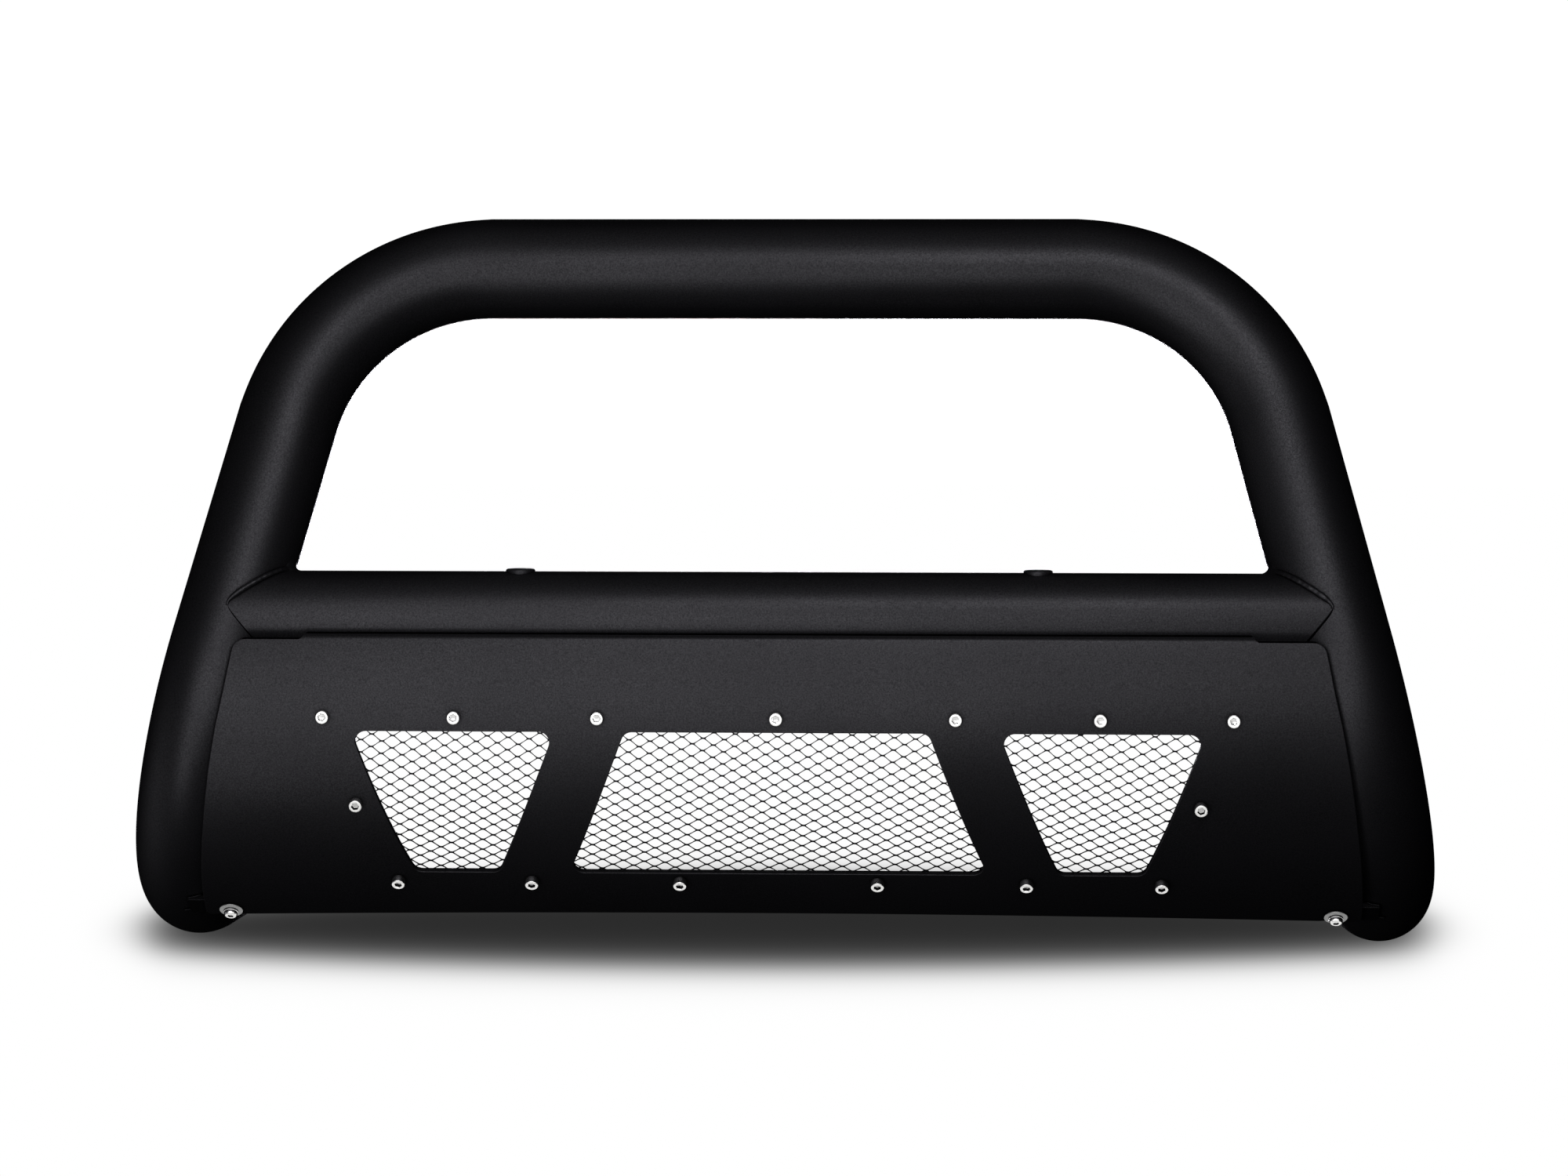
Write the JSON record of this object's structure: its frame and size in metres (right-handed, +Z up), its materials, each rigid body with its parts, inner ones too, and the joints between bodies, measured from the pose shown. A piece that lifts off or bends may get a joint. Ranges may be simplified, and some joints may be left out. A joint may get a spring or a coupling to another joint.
{
  "type": "front grille guard",
  "caption": "Front grille guard for a pickup or SUV: bent steel hoop, coped cross tube and a rolled skid plate with expanded-metal windows bolted under it.",
  "frame": {"origin": "centre of the bounding box's bottom face, on the guard's centre plane at the height of the legs' underside", "axes": "+X along the top bar towards the right-hand leg seen from the vehicle's front, +Y rearward to the vehicle, +Z up; the guard's front faces -Y"},
  "size_m": [1.003, 0.3422, 0.5618],
  "materials": {
    "powder_coat": "fine-textured matte black powder coat",
    "mesh_black": "black coated expanded metal",
    "stainless": "bright stainless fasteners",
    "zinc": "zinc-plated nuts",
    "plug_plastic": "black moulded plastic"
  },
  "bodies": {
    "root": {"cope_weld_left": "powder_coat", "cope_weld_right": "powder_coat", "cross_tube": "powder_coat", "leg_end_cap_left": "plug_plastic", "leg_end_cap_right": "plug_plastic", "leg_mount_plate_left": "powder_coat", "leg_mount_plate_right": "powder_coat", "light_hole_plug_left": "plug_plastic", "light_hole_plug_right": "plug_plastic", "lower_bolt_nut_left": "zinc", "lower_bolt_nut_right": "zinc", "lower_button_bolt_left": "stainless", "lower_button_bolt_right": "stainless", "lower_fender_washer_left": "stainless", "lower_fender_washer_right": "stainless", "lower_lock_washer_left": "stainless", "lower_lock_washer_right": "stainless", "lower_plate_tab_left": "powder_coat", "lower_plate_tab_right": "powder_coat", "main_hoop": "powder_coat", "mesh_insert_centre": "mesh_black", "mesh_insert_left": "mesh_black", "mesh_insert_right": "mesh_black", "mesh_nut_centre_1": "zinc", "mesh_nut_centre_2": "zinc", "mesh_nut_centre_3": "zinc", "mesh_nut_centre_4": "zinc", "mesh_nut_centre_5": "zinc", "mesh_nut_left_1": "zinc", "mesh_nut_left_2": "zinc", "mesh_nut_left_3": "zinc", "mesh_nut_left_4": "zinc", "mesh_nut_left_5": "zinc", "mesh_nut_right_1": "zinc", "mesh_nut_right_2": "zinc", "mesh_nut_right_3": "zinc", "mesh_nut_right_4": "zinc", "mesh_nut_right_5": "zinc", "mesh_screw_centre_1": "stainless", "mesh_screw_centre_2": "stainless", "mesh_screw_centre_3": "stainless", "mesh_screw_centre_4": "stainless", "mesh_screw_centre_5": "stainless", "mesh_screw_left_1": "stainless", "mesh_screw_left_2": "stainless", "mesh_screw_left_3": "stainless", "mesh_screw_left_4": "stainless", "mesh_screw_left_5": "stainless", "mesh_screw_right_1": "stainless", "mesh_screw_right_2": "stainless", "mesh_screw_right_3": "stainless", "mesh_screw_right_4": "stainless", "mesh_screw_right_5": "stainless", "skid_plate": "powder_coat", "upper_plate_bracket_left": "powder_coat", "upper_plate_bracket_right": "powder_coat", "upper_stud_nut_left": "zinc", "upper_stud_nut_right": "zinc"}
  },
  "joints": []
}
